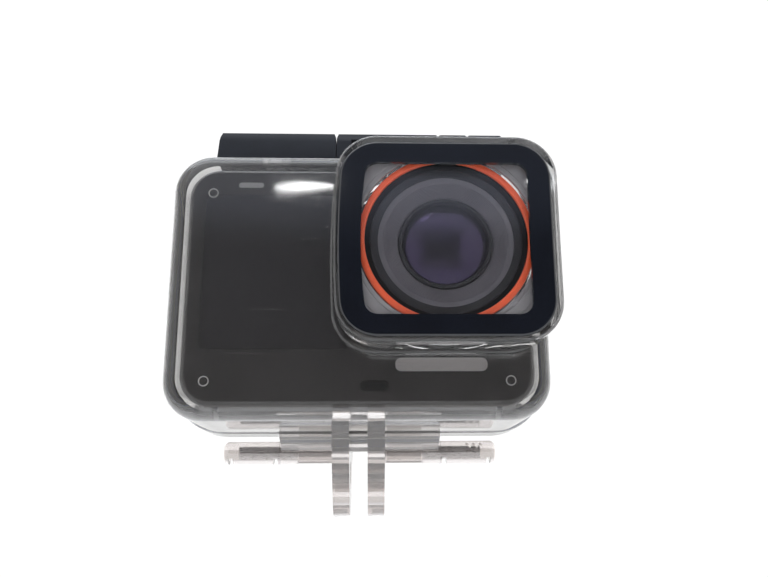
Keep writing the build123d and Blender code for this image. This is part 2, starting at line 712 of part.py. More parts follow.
def blank_nameplate():
    """Plain plate under the lens."""
    return slab(panel((6.4, 22.6), (16.9, 19.3), 1.1), CAM_FRONT - 0.15, CAM_FRONT)


# Lens

def lens_housing():
    """Round shroud on the camera's front."""
    shroud = lens_tube(RING_R[0], LENS_R, LENS_FRONT + 0.6, CAM_FRONT)
    lip = lens_tube(13.4, RING_R[0] + 0.2, -19.0, CAM_FRONT)
    neck = lens_tube(12.4, 14.3, -15.0, FRONT_PLATE_BACK)
    return shroud + lip + neck


def lens_ring():
    """Coloured ring at the shroud's front."""
    ring = lens_tube(*RING_R, LENS_FRONT, LENS_FRONT + 0.6)
    return fillet(ring.faces().sort_by(Axis.Y)[0].edges(), 0.2)


def lens_cover_glass():
    """Flat cover glass over the lens."""
    return lens_disc(RING_R[0] - 0.05, -20.1, -19.0)


def glass_mask():
    """Black ring behind the edge of the cover glass."""
    return lens_tube(12.0, 13.35, -18.98, -18.6)


def lens_baffle():
    """Ridged ring that steps down from the cover glass to the lens."""
    rings = lens_tube(11.1, 13.3, -18.55, -16.0)
    steps = 9
    for step in range(steps):
        outer = 11.15 - 0.3 * step
        front = -18.4 + 0.09 * step + (0.16 if step % 2 else 0.0)
        rings += lens_tube(outer - 0.3, outer, front, -16.0)
    return rings


def lens_barrel():
    """Threaded barrel that holds the glass elements."""
    barrel = lens_tube(7.5, 8.4, -18.3, -9.0) + lens_tube(6.3, 8.4, -14.6, -13.8)
    return barrel + lens_tube(5.2, 8.4, -9.0, -3.6)


def dome(radius, edge_front, bulge, back):
    """Glass element with a curved front."""
    curve_r = (radius ** 2 + bulge ** 2) / (2 * bulge)
    ball = Pos(LENS_X, edge_front - bulge + curve_r, LENS_Z) * Sphere(curve_r)
    return lens_disc(radius, edge_front - bulge - 1, back) & (ball + lens_disc(radius, edge_front, back))


def front_lens():
    """Large front element."""
    return dome(7.45, -16.6, 1.5, -14.65)


def rear_lens():
    """Small rear element."""
    return dome(5.15, -7.4, 0.9, -5.6)


def middle_lens():
    """Element behind the barrel's step."""
    return dome(7.45, -12.6, 1.0, -10.4)


def image_sensor():
    """Sensor chip behind the lens."""
    return block((LENS_X - 4.4, LENS_X + 4.4), (-3.4, -2.2), (LENS_Z - 3.6, LENS_Z + 3.6))


def sensor_board():
    """Small board that carries the sensor, with the barrel's seat around it."""
    half = BOARD_HALF
    return block((LENS_X - half, LENS_X + half), (-2.2, -1.2), (LENS_Z - half, LENS_Z + half))


def barrel_mount():
    """Bracket between the sensor board and the lens barrel."""
    half = BOARD_HALF
    plate = block((LENS_X - half, LENS_X + half), (-3.5, -2.25), (LENS_Z - half, LENS_Z + half))
    plate -= block((LENS_X - 4.6, LENS_X + 4.6), (-5, 0), (LENS_Z - 3.8, LENS_Z + 3.8))
    collar = lens_tube(8.45, 9.6, -8.0, -3.4)
    return plate + collar


# Inside the camera

def battery():
    """Flat battery pack with bevelled corners."""
    pack = block((-24.0, 4.0), (-9.7, -1.2), (13.0, 47.5))
    return fillet(pack.edges().filter_by(Axis.Z), 1.4)


def battery_contacts():
    """Spring contacts above the battery."""
    strip = block((-8.0, 2.0), (-7.0, -4.0), (48.6, 50.2))
    for step in range(4):
        left = -7.2 + 2.4 * step
        strip += block((left, left + 1.2), (-6.2, -4.8), (47.55, 48.7))
    return strip


def main_board():
    """Main circuit board with its larger parts."""
    board = block((-24.6, 24.6), (3.4, 4.4), (17.2, 48.4))
    for xs, zs, deep in (((-20, -12), (42, 47), 1.0), ((-8, -2), (22, 29), 0.8), ((14, 22), (19, 25), 1.0)):
        board += block(xs, (3.45 - deep, 3.45), zs)
    return board


def heat_spreader():
    """Aluminium plate over the processor."""
    plate = block((2.0, 22.0), (2.2, 3.35), (28.0, 46.0))
    for step in range(5):
        low = 29.6 + 3.2 * step
        plate += block((3.0, 21.0), (1.2, 2.3), (low, low + 1.2))
    return plate


def usb_socket():
    """Charging socket behind the side door."""
    shell = block((-29.1, -22.4), (-0.9, 2.3), (21.2, 30.4))
    shell = fillet(shell.edges().filter_by(Axis.X), 1.3)
    shell -= block((-30, -23.2), (-0.4, 1.8), (21.9, 29.7))
    return shell + block((-28.2, -23.1), (0.4, 1.0), (22.6, 29.0))


def card_socket():
    """Slot for the memory card."""
    frame = block((-26.8, -13.8), (-0.9, 2.0), (31.2, 42.8))
    return frame - block((-27.5, -14.4), (0.1, 1.1), (31.7, 42.3))


def memory_card():
    """Memory card in its slot."""
    return block((-28.6, -14.5), (0.2, 1.0), (31.9, 42.1))


def speaker():
    """Small speaker box at the bottom."""
    box = block((9.0, 25.0), (-8.6, -4.0), (13.2, 22.6))
    box = fillet(box.edges().filter_by(Axis.Y), 1.0)
    return box - rod_y(17.0, (-9.0, -8.0), 17.9, 3.6) + rod_y(17.0, (-8.1, -7.9), 17.9, 3.0)


NODES = (
    front_housing, lens_window, window_bezel, window_seal, left_hinge_plug, right_hinge_plug,
    hinge_pins, rear_door, door_gasket, rear_pads, latch_lever, latch_pivot_pin, latch_hook,
    lock_slider, lock_spring, shutter_key, shutter_plunger, shutter_o_ring, shutter_clip,
    shutter_spring, power_cap, power_plunger, power_o_ring, power_spring, camera_front_cover,
    camera_body, camera_rear_cover, camera_screws, battery_door, side_door,
    camera_shutter_button, camera_power_button, front_screen_glass, front_display,
    touch_screen_glass, rear_display, status_light, front_microphone, blank_nameplate,
    lens_housing, lens_ring, lens_cover_glass, glass_mask, lens_baffle, lens_barrel,
    front_lens, middle_lens, rear_lens, image_sensor, sensor_board, barrel_mount, battery,
    battery_contacts, main_board, heat_spreader, usb_socket, card_socket, memory_card, speaker,
)

os.makedirs("parts", exist_ok=True)
for make in NODES:
    export_step(make(), "parts/" + make.__name__ + ".step")
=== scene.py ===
import json
import math
import bmesh
import bpy
from mathutils import Matrix, Vector

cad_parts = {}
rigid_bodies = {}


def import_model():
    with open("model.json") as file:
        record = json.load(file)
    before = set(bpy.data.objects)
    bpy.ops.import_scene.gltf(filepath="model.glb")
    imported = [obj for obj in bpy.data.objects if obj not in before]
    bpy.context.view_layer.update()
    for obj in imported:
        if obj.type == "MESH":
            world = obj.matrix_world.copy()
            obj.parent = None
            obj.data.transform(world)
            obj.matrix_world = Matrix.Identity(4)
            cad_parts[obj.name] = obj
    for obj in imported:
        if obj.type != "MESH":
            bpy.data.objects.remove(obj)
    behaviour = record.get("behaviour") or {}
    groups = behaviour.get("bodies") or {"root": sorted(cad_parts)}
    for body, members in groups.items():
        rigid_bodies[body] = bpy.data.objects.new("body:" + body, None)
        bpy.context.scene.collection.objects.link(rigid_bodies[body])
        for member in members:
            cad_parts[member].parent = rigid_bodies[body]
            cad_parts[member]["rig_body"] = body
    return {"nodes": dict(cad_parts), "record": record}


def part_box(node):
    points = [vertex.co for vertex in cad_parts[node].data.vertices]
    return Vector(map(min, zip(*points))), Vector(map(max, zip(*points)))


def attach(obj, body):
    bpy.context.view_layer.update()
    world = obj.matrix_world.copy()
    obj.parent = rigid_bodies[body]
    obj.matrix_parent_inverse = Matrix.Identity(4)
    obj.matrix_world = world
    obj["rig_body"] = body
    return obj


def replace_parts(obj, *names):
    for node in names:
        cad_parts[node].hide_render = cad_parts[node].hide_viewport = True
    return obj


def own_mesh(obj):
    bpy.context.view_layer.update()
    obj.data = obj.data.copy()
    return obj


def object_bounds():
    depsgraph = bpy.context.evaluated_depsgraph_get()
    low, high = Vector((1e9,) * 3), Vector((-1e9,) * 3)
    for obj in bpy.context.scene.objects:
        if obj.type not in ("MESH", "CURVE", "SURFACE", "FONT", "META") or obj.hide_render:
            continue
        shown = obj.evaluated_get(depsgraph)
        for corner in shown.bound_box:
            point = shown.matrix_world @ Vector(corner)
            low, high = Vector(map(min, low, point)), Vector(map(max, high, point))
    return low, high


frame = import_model()
cad_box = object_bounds()
nodes = frame["nodes"]
MM = 0.001

# Places in millimetres where the clear plastic changes over, each from one look to the next
FRONT_WALL = (-13.5, -11.5)
DOOR = (9.8, 10.6)
BOX_FLOOR = (7.2, 8.8)
# Share of light that passes through the plastic in each place
CLEAR_WALL = 0.994
HAZY_SIDES = 0.82
HAZY_MOUNT = 0.88
# Gap that a spring's two ends leave together, so that they never lie exactly on their seats
SPRING_GAP = 0.04


# ---------------------------------------------------------------- helpers

def node_middle(name):
    """Middle of a CAD node's box."""
    low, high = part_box(name)
    return (low + high) / 2


def add_object(name, mesh, body):
    """New piece that moves with a body."""
    piece = bpy.data.objects.new(name, mesh)
    bpy.context.scene.collection.objects.link(piece)
    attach(piece, body)
    return piece


def shade_smooth(mesh, angle=35):
    """Smooth shading with sharp edges where faces meet at more than the angle."""
    for face in mesh.polygons:
        face.use_smooth = True
    mesh.set_sharp_from_angle(angle=math.radians(angle))


def apply_modifiers(piece):
    """Bakes the piece's modifiers into its mesh."""
    graph = bpy.context.evaluated_depsgraph_get()
    mesh = bpy.data.meshes.new_from_object(piece.evaluated_get(graph))
    piece.modifiers.clear()
    piece.data = mesh


# ---------------------------------------------------------------- materials

def new_material(name):
    material = bpy.data.materials.new(name)
    material.use_nodes = True
    return material, material.node_tree.nodes["Principled BSDF"]


def link(material, output, target):
    material.node_tree.links.new(output, target)


def noise(material, scale, detail=4.0, roughness=0.55, stretch=(1, 1, 1)):
    """Noise in object space, stretched along the axes."""
    tree = material.node_tree
    place = tree.nodes.new("ShaderNodeTexCoord")
    mapping = tree.nodes.new("ShaderNodeMapping")
    mapping.inputs["Scale"].default_value = stretch
    texture = tree.nodes.new("ShaderNodeTexNoise")
    texture.inputs["Scale"].default_value = scale
    texture.inputs["Detail"].default_value = detail
    texture.inputs["Roughness"].default_value = roughness
    tree.links.new(place.outputs["Object"], mapping.inputs["Vector"])
    tree.links.new(mapping.outputs["Vector"], texture.inputs["Vector"])
    return texture.outputs["Fac"]


def map_range(material, source, low, high):
    """Value from 0 to 1, spread from low to high."""
    node = material.node_tree.nodes.new("ShaderNodeMapRange")
    node.inputs["To Min"].default_value = low
    node.inputs["To Max"].default_value = high
    material.node_tree.links.new(source, node.inputs["Value"])
    return node.outputs["Result"]


def fade(tree, source, span, start, end):
    """Value that goes from start to end over a span in millimetres. Each end is a number or a socket."""
    node = tree.nodes.new("ShaderNodeMapRange")
    node.inputs["From Min"].default_value = span[0] * MM
    node.inputs["From Max"].default_value = span[1] * MM
    for name, value in (("To Min", start), ("To Max", end)):
        if isinstance(value, (int, float)):
            node.inputs[name].default_value = value
        else:
            tree.links.new(value, node.inputs[name])
    tree.links.new(source, node.inputs["Value"])
    return node.outputs["Result"]


def object_place(tree):
    """The X, Y and Z of a point on the object, as one node's outputs."""
    place = tree.nodes.new("ShaderNodeTexCoord")
    split = tree.nodes.new("ShaderNodeSeparateXYZ")
    tree.links.new(place.outputs["Object"], split.inputs["Vector"])
    return split.outputs


def mix_colors(material, source, first, second, low=0.35, high=0.65):
    """First colour up to the low value, second from the high one, and a blend between."""
    ramp = material.node_tree.nodes.new("ShaderNodeValToRGB")
    ramp.color_ramp.elements[0].position = low
    ramp.color_ramp.elements[0].color = (*first, 1)
    ramp.color_ramp.elements[1].position = high
    ramp.color_ramp.elements[1].color = (*second, 1)
    material.node_tree.links.new(source, ramp.inputs["Fac"])
    return ramp.outputs["Color"]


def add_bump(material, shader, source, strength, distance):
    bump = material.node_tree.nodes.new("ShaderNodeBump")
    bump.inputs["Strength"].default_value = strength
    bump.inputs["Distance"].default_value = distance
    link(material, source, bump.inputs["Height"])
    link(material, bump.outputs["Normal"], shader.inputs["Normal"])


def clearness(tree):
    """Transmission: full in the polished front wall and door, lower in the moulded sides and the mount."""
    at = object_place(tree)
    box = fade(tree, at["Y"], FRONT_WALL, CLEAR_WALL, HAZY_SIDES)
    box = fade(tree, at["Y"], DOOR, box, CLEAR_WALL)
    return fade(tree, at["Z"], BOX_FLOOR, HAZY_MOUNT, box)


def tint_by_height(material, shader, upper, lower):
    """Base colour that is deeper in the thick mount and hinge, under the box."""
    tree = material.node_tree
    level = fade(tree, object_place(tree)["Z"], BOX_FLOOR, 0, 1)
    link(material, mix_colors(material, level, lower, upper, 0.0, 1.0), shader.inputs["Base Color"])


def clear_plastic(name, tint, roughness, ior):
    """Clear plastic or glass with an even surface."""
    material, shader = new_material(name)
    shader.inputs["Base Color"].default_value = (*tint, 1)
    shader.inputs["Transmission Weight"].default_value = 1.0
    shader.inputs["IOR"].default_value = ior
    shader.inputs["Roughness"].default_value = roughness
    return material


def moulded_plastic(name, tint, mount_tint, roughness, ior, depth, wear):
    """Clear plastic that greys with depth and by place, with haze, hairlines and handling marks."""
    material = clear_plastic(name, tint, roughness, ior)
    tree = material.node_tree
    shader = tree.nodes["Principled BSDF"]
    grey = tree.nodes.new("ShaderNodeVolumeAbsorption")
    grey.inputs["Color"].default_value = (0.08, 0.04, 0.0, 1)
    grey.inputs["Density"].default_value = depth
    link(material, grey.outputs["Volume"], tree.nodes["Material Output"].inputs["Volume"])
    link(material, clearness(tree), shader.inputs["Transmission Weight"])
    tint_by_height(material, shader, tint, mount_tint)
    haze = map_range(material, noise(material, 240, 4.0), roughness * 0.4, roughness * 1.8)
    hairs = noise(material, 700, 2.0, stretch=(0.05, 1, 1.6))
    marks = mix_colors(material, hairs, (0, 0, 0), (wear, wear, wear), 0.66, 0.74)
    total = tree.nodes.new("ShaderNodeMath")
    total.operation = "ADD"
    link(material, haze, total.inputs[0])
    link(material, marks, total.inputs[1])
    link(material, total.outputs["Value"], shader.inputs["Roughness"])
    add_bump(material, shader, noise(material, 85, 1.0), 0.03, 0.0015)
    return material


def plastic(name, color, roughness, grain, grain_scale, spread=0.12, shine=0.5):
    """Opaque moulded plastic with a fine texture and slight colour drift."""
    material, shader = new_material(name)
    drift = noise(material, 120, 3.0)
    lighter = tuple(min(1.0, c * (1 + spread)) for c in color)
    darker = tuple(c * (1 - spread) for c in color)
    link(material, mix_colors(material, drift, darker, lighter), shader.inputs["Base Color"])
    fine = noise(material, grain_scale, 2.0)
    dull = map_range(material, fine, roughness * 0.85, min(1.0, roughness * 1.15))
    link(material, dull, shader.inputs["Roughness"])
    add_bump(material, shader, fine, grain, 0.0001)
    shader.inputs["Specular IOR Level"].default_value = shine
    return material


def metal(name, color, roughness, stretch):
    """Metal with fine drawn or turned marks along one axis."""
    material, shader = new_material(name)
    shader.inputs["Metallic"].default_value = 1.0
    marks = noise(material, 900, 3.0, stretch=stretch)
    darker = tuple(c * 0.85 for c in color)
    link(material, mix_colors(material, marks, darker, color), shader.inputs["Base Color"])
    link(material, map_range(material, marks, roughness * 0.7, roughness * 1.4), shader.inputs["Roughness"])
    add_bump(material, shader, marks, 0.15, 0.00005)
    return material


def board_material():
    """Solder mask with faint tracks."""
    material, shader = new_material("circuit_board")
    place = material.node_tree.nodes.new("ShaderNodeTexCoord")
    bricks = material.node_tree.nodes.new("ShaderNodeTexBrick")
    bricks.inputs["Scale"].default_value = 900
    bricks.inputs["Color1"].default_value = (0.01, 0.07, 0.035, 1)
    bricks.inputs["Color2"].default_value = (0.012, 0.085, 0.045, 1)
    bricks.inputs["Mortar"].default_value = (0.03, 0.16, 0.08, 1)
    link(material, place.outputs["Object"], bricks.inputs["Vector"])
    link(material, bricks.outputs["Color"], shader.inputs["Base Color"])
    shader.inputs["Roughness"].default_value = 0.4
    return material


def screen_material(name, color, roughness):
    """Dark screen glass with faint smudges."""
    material, shader = new_material(name)
    shader.inputs["Base Color"].default_value = (*color, 1)
    smudge = noise(material, 60, 4.0)
    link(material, map_range(material, smudge, roughness * 0.4, roughness * 2.4), shader.inputs["Roughness"])
    shader.inputs["Specular IOR Level"].default_value = 0.6
    return material


def coated_glass(name, tint, coat_tint, clear=1.0):
    """Lens glass with a coloured anti-reflection coat. Clear is the share of light that passes."""
    material, shader = new_material(name)
    shader.inputs["Base Color"].default_value = (*tint, 1)
    shader.inputs["Transmission Weight"].default_value = clear
    shader.inputs["IOR"].default_value = 1.5
    shader.inputs["Roughness"].default_value = 0.0
    shader.inputs["Specular Tint"].default_value = (*coat_tint, 1)
    return material


MATERIALS = {
    "clear_housing": moulded_plastic("clear_housing", (0.98, 0.975, 0.97), (0.63, 0.585, 0.56), 0.03,
                                     1.58, depth=7.0, wear=0.12),
    "window_glass": clear_plastic("window_glass", (0.98, 0.98, 0.985), 0.004, 1.5),
    "bezel_black": plastic("bezel_black", (0.003, 0.004, 0.007), 0.08, 0.0, 500),
    "seal_pale": plastic("seal_pale", (0.3, 0.29, 0.3), 0.55, 0.1, 1500),
    "gasket_blue": plastic("gasket_blue", (0.02, 0.035, 0.2), 0.45, 0.1, 1200),
    "steel": metal("steel", (0.62, 0.62, 0.63), 0.28, (1, 1, 8)),
    "spring_steel": metal("spring_steel", (0.5, 0.5, 0.52), 0.25, (1, 1, 1)),
    "latch_plastic": plastic("latch_plastic", (0.0115, 0.0135, 0.0185), 0.55, 0.3, 4500, shine=0.14),
    "o_ring_rubber": plastic("o_ring_rubber", (0.015, 0.015, 0.015), 0.55, 0.1, 1500),
    "camera_front": plastic("camera_front", (0.025, 0.0235, 0.024), 0.16, 0.1, 5200),
    "camera_casing": plastic("camera_casing", (0.02, 0.02, 0.021), 0.5, 0.35, 5200),
    "screw_black": metal("screw_black", (0.08, 0.08, 0.085), 0.4, (1, 1, 1)),
    "screen_glass": screen_material("screen_glass", (0.016, 0.0155, 0.018), 0.04),
    "display_black": screen_material("display_black", (0.004, 0.004, 0.006), 0.2),
    "light_pipe": plastic("light_pipe", (0.3, 0.3, 0.3), 0.25, 0.0, 500),
    "mesh_black": plastic("mesh_black", (0.003, 0.003, 0.0035), 0.6, 0.6, 5000, shine=0.05),
    "nameplate_grey": metal("nameplate_grey", (0.5, 0.48, 0.48), 0.4, (1, 1, 14)),
    "lens_black": plastic("lens_black", (0.032, 0.032, 0.036), 0.35, 0.0, 2500),
    "ring_orange": plastic("ring_orange", (1.0, 0.125, 0.035), 0.35, 0.05, 3000, spread=0.05),
    "lens_glass": coated_glass("lens_glass", (0.95, 0.95, 0.97), (0.9, 0.9, 1.0)),
    "baffle_grey": plastic("baffle_grey", (0.3, 0.285, 0.315), 0.5, 0.0, 3000),
    "coated_glass": coated_glass("coated_glass", (0.062, 0.06, 0.074), (0.6, 0.45, 1.0), clear=0.1),
    "sensor_green": plastic("sensor_green", (0.02, 0.04, 0.05), 0.25, 0.0, 900),
    "circuit_board": board_material(),
    "battery_wrap": plastic("battery_wrap", (0.03, 0.03, 0.035), 0.4, 0.1, 1500),
    "contact_gold": metal("contact_gold", (0.8, 0.55, 0.2), 0.25, (1, 1, 1)),
    "aluminium": metal("aluminium", (0.7, 0.7, 0.72), 0.3, (8, 1, 1)),
    "card_black": plastic("card_black", (0.012, 0.012, 0.014), 0.45, 0.1, 2500),
    "frosted_mark": plastic("frosted_mark", (0.6, 0.59, 0.58), 0.6, 0.0, 900),
}
SLOT_OF = {part["node"]: part["material_slot"] for part in frame["record"]["subparts"]}


def paint(piece, slot):
    """Gives the piece its slot's material and no other."""
    piece.data.materials.clear()
    piece.data.materials.append(MATERIALS[slot])


for name, cad in nodes.items():
    paint(cad, SLOT_OF[name])


# ---------------------------------------------------------------- softened copies of CAD parts

def soften(name, width, angle=30, segments=2):
    """Stands in for a CAD node with the same shape, its hard edges rounded a little."""
    source = nodes[name]
    form = bmesh.new()
    form.from_mesh(source.data)
    bmesh.ops.remove_doubles(form, verts=form.verts, dist=1e-6)
    bmesh.ops.dissolve_limit(form, angle_limit=math.radians(0.5), verts=form.verts, edges=form.edges)
    bmesh.ops.triangulate(form, faces=[face for face in form.faces if len(face.verts) > 4])
    mesh = bpy.data.meshes.new(name + "_soft")
    form.to_mesh(mesh)
    form.free()
    piece = add_object(name + "_soft", mesh, source["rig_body"])
    bevel = piece.modifiers.new("edges", "BEVEL")
    bevel.width = width * MM
    bevel.segments = segments
    bevel.limit_method = "ANGLE"
    bevel.angle_limit = math.radians(angle)
    bevel.use_clamp_overlap = True
    bevel.miter_outer = "MITER_ARC"
    apply_modifiers(piece)
    shade_smooth(piece.data, 40)
    level = piece.modifiers.new("normals", "WEIGHTED_NORMAL")
    level.keep_sharp = True
    apply_modifiers(piece)
    paint(piece, SLOT_OF[name])
    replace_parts(piece, name)
    return piece


def seat_seal():
    """Draws the window's seal a hair back from the pane, so that the glass keeps an air face behind it."""
    seal = soften("window_seal", 0.03)
    front = min(vertex.co.y for vertex in seal.data.vertices)
    gap = 0.05 * MM
    for vertex in seal.data.vertices:
        if vertex.co.y < front + 0.8 * gap:
            vertex.co.y += gap


seat_seal()
for name in ("latch_lever", "shutter_key", "lock_slider"):
    soften(name, 0.22)
for name in ("battery_door", "side_door", "latch_hook", "card_socket", "heat_spreader"):
    soften(name, 0.12)
for name in ("memory_card", "sensor_board", "barrel_mount", "battery_contacts", "image_sensor"):
    soften(name, 0.06)


# ---------------------------------------------------------------- turned parts of the lens

def lathe(name, node, profile, slot, middle=None, around=144, smooth=35):
    """Closed profile of (radius, y) in millimetres, turned round the lens axis or another middle."""
    if middle is None:
        middle = node_middle("lens_cover_glass")
    form = bmesh.new()
    rings = []
    for radius, depth in profile:
        if radius < 1e-6:
            rings.append([form.verts.new((middle.x, depth * MM, middle.z))])
            continue
        ring = []
        for step in range(around):
            angle = 2 * math.pi * step / around
            ring.append(form.verts.new((middle.x + radius * MM * math.cos(angle), depth * MM,
                                        middle.z + radius * MM * math.sin(angle))))
        rings.append(ring)
    for first, second in zip(rings, rings[1:] + rings[:1]):
        if len(first) == 1 and len(second) == 1:
            continue
        for step in range(around):
            after = (step + 1) % around
            if len(first) == 1:
                form.faces.new((first[0], second[after], second[step]))
            elif len(second) == 1:
                form.faces.new((first[step], first[after], second[0]))
            else:
                form.faces.new((first[step], first[after], second[after], second[step]))
    bmesh.ops.recalc_face_normals(form, faces=form.faces)
    mesh = bpy.data.meshes.new(name)
    form.to_mesh(mesh)
    form.free()
    shade_smooth(mesh, smooth)
    piece = add_object(name, mesh, nodes[node]["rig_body"])
    paint(piece, slot)
    return piece


def ridged_baffle():
    """Dished ring with fine ridges near its inside edge, stepping down to the barrel."""
    profile = [(13.3, -18.55), (11.3, -18.52), (11.05, -18.36)]
    ridges = 10
    for step in range(ridges):
        outer = 11.0 - 0.235 * step
        level = -18.3 + 0.07 * step
        profile += [(outer, level), (outer - 0.1, level + 0.1), (outer - 0.2, level + 0.02)]
    profile += [(8.55, -17.5), (8.45, -17.4), (8.45, -16.1), (13.3, -16.1)]
    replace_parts(lathe("lens_baffle_ridged", "lens_baffle", profile, "baffle_grey"), "lens_baffle")


def turned_barrel():
    """Barrel with a rounded rim and threads down its inside."""
    profile = [(8.35, -17.7), (8.25, -17.85), (8.0, -17.9), (7.75, -17.8), (7.6, -17.55)]
    threads = 9
    for step in range(threads):
        level = -17.3 + 0.28 * step
        profile += [(7.5, level), (7.58, level + 0.14)]
    profile += [(7.5, -14.65), (6.3, -14.6), (6.3, -13.8), (7.5, -13.75), (7.5, -9.0), (5.2, -8.95),
                (5.2, -3.6), (8.4, -3.6)]
    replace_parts(lathe("lens_barrel_turned", "lens_barrel", profile, "lens_black"), "lens_barrel")


def ground_lens(node, radius, rim, bulge, back, hollow):
    """Glass element with curved faces in front and behind."""
    profile = []
    steps = 14
    for step in range(steps + 1):
        share = step / steps
        profile.append((radius * share, rim - bulge * (1 - share ** 2)))
    for step in range(steps, -1, -1):
        share = step / steps
        profile.append((radius * share, back - hollow * (1 - share ** 2)))
    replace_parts(lathe(node + "_ground", node, profile, "coated_glass", smooth=40), node)


def rounded_ring():
    """Orange ring with both front edges rounded."""
    profile = [(14.3, -20.05), (14.3, -20.38), (14.36, -20.52), (14.5, -20.6), (15.25, -20.6),
               (15.39, -20.52), (15.45, -20.38), (15.45, -20.0), (14.3, -20.0)]
    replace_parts(lathe("lens_ring_turned", "lens_ring", profile, "ring_orange"), "lens_ring")


ridged_baffle()
turned_barrel()
ground_lens("front_lens", 7.45, -16.6, 1.5, -14.65, 0.5)
ground_lens("middle_lens", 7.45, -12.6, 1.0, -10.4, -0.4)
ground_lens("rear_lens", 5.15, -7.4, 0.9, -5.6, 0.3)
rounded_ring()


# ---------------------------------------------------------------- small details

def boxes(name, node, slot, blocks, width=0.0):
    """One mesh of several small blocks, each ((x0, x1), (y0, y1), (z0, z1)) in millimetres."""
    form = bmesh.new()
    for xs, ys, zs in blocks:
        place = Matrix.Translation((sum(xs) / 2 * MM, sum(ys) / 2 * MM, sum(zs) / 2 * MM))
        size = Matrix.Diagonal(((xs[1] - xs[0]) * MM, (ys[1] - ys[0]) * MM, (zs[1] - zs[0]) * MM, 1))
        bmesh.ops.create_cube(form, size=1.0, matrix=place @ size)
    mesh = bpy.data.meshes.new(name)
    form.to_mesh(mesh)
    form.free()
    piece = add_object(name, mesh, nodes[node]["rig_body"])
    if width:
        bevel = piece.modifiers.new("edges", "BEVEL")
        bevel.width = width * MM
        bevel.segments = 2
        apply_modifiers(piece)
        shade_smooth(piece.data, 40)
    paint(piece, slot)
    return piece


def board_parts():
    """Rows of small parts with tinned ends on the main board's front."""
    bodies = []
    ends = []
    for row in range(3):
        for place in range(7):
            x = -9.0 + 1.5 * place
            z = 31.5 + 2.2 * row
            bodies.append(((x - 0.25, x + 0.25), (3.0, 3.42), (z - 0.5, z + 0.5)))
            for way in (-1, 1):
                middle = z + 0.6 * way
                ends.append(((x - 0.26, x + 0.26), (2.98, 3.42), (middle - 0.15, middle + 0.15)))
    for place in range(10):
        z = 22.3 + 0.7 * place
        ends.append(((-8.7, -8.0), (3.2, 3.42), (z - 0.15, z + 0.15)))
        ends.append(((-2.0, -1.3), (3.2, 3.42), (z - 0.15, z + 0.15)))
    boxes("board_small_parts", "main_board", "card_black", bodies, 0.03)
    boxes("board_tinned_ends", "main_board", "steel", ends, 0.03)


def ejector_marks():
    """Faint frosted rings that the mould left inside the housing's front wall."""
    for index, (x, z) in enumerate(((-26.6, 15.2), (26.6, 15.2), (-26.6, 49.8))):
        profile = [(0.74, -14.1), (0.74, -13.97), (0.9, -13.97), (0.9, -14.1)]
        lathe("ejector_mark_" + str(index + 1), "front_housing", profile, "frosted_mark",
              Vector((x * MM, 0, z * MM)), 48)


def battery_label():
    """Plain pale label with one dark band round the battery's front."""
    boxes("battery_label", "battery", "nameplate_grey", [((-21.5, 1.5), (-9.74, -9.68), (18.0, 42.0))], 0.01)
    boxes("battery_band", "battery", "card_black", [((-21.5, 1.5), (-9.77, -9.7), (24.0, 28.0))], 0.01)


def speaker_holes():
    """Small raised dots of the speaker's grille."""
    dots = []
    for row in range(-2, 3):
        for place in range(-2, 3):
            if abs(row) + abs(place) < 4:
                x = 17.0 + 1.1 * place
                z = 17.9 + 1.1 * row
                dots.append(((x - 0.25, x + 0.25), (-8.25, -8.08), (z - 0.25, z + 0.25)))
    boxes("speaker_grille", "speaker", "steel", dots, 0.05)


def socket_contacts():
    """Gold contacts on the charging socket's tongue."""
    strips = []
    for place in range(8):
        z = 23.2 + 0.74 * place
        strips.append(((-28.0, -24.5), (0.36, 0.42), (z - 0.15, z + 0.15)))
    boxes("socket_contacts", "usb_socket", "contact_gold", strips)


board_parts()
ejector_marks()
battery_label()
speaker_holes()
socket_contacts()


# ---------------------------------------------------------------- springs

def helix_mesh(name, middle, axis, length, radius, wire, turns):
    """Wound wire with its end coils closed and ground, as a tube mesh."""
    axis = Vector(axis).normalized()
    side = axis.orthogonal().normalized()
    up = axis.cross(side)
    steps_per_turn = 40
    around = 12
    closed = 0.75
    total = turns + 2 * closed
    count = int(total * steps_per_turn)
    form = bmesh.new()
    rings = []
    for step in range(count + 1):
        turn = total * step / count
        share = min(max((turn - closed) / turns, 0.0), 1.0)
        rise = -length / 2 + wire + (length - 2 * wire) * share
        angle = 2 * math.pi * turn
        out = side * math.cos(angle) + up * math.sin(angle)
        centre = middle + axis * rise + out * radius
        ring = []
        for corner in range(around):
            bend = 2 * math.pi * corner / around
            ring.append(form.verts.new(centre + out * wire * math.cos(bend) + axis * wire * math.sin(bend)))
        rings.append(ring)
    for first, second in zip(rings, rings[1:]):
        for corner in range(around):
            after = (corner + 1) % around
            form.faces.new((first[corner], first[after], second[after], second[corner]))
    form.faces.new(rings[0][::-1])
    form.faces.new(rings[-1])
    bmesh.ops.recalc_face_normals(form, faces=form.faces)
    mesh = bpy.data.meshes.new(name)
    form.to_mesh(mesh)
    form.free()
    shade_smooth(mesh, 60)
    return mesh


def wound_spring(node, axis, wire, turns):
    """Coil spring wound to fill its CAD node's box and carried by the node's body."""
    low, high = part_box(node)
    middle = (low + high) / 2
    axis = Vector(axis)
    along = [abs(c) for c in axis]
    index = along.index(max(along))
    length = high[index] - low[index] - SPRING_GAP * MM
    across = (index + 1) % 3
    radius = (high[across] - low[across]) / 2 - wire * MM
    mesh = helix_mesh(node + "_wound", middle, axis, length, radius, wire * MM, turns)
    piece = add_object(node + "_wound", mesh, nodes[node]["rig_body"])
    paint(piece, SLOT_OF[node])
    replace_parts(piece, node)
    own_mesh(piece)
    return piece


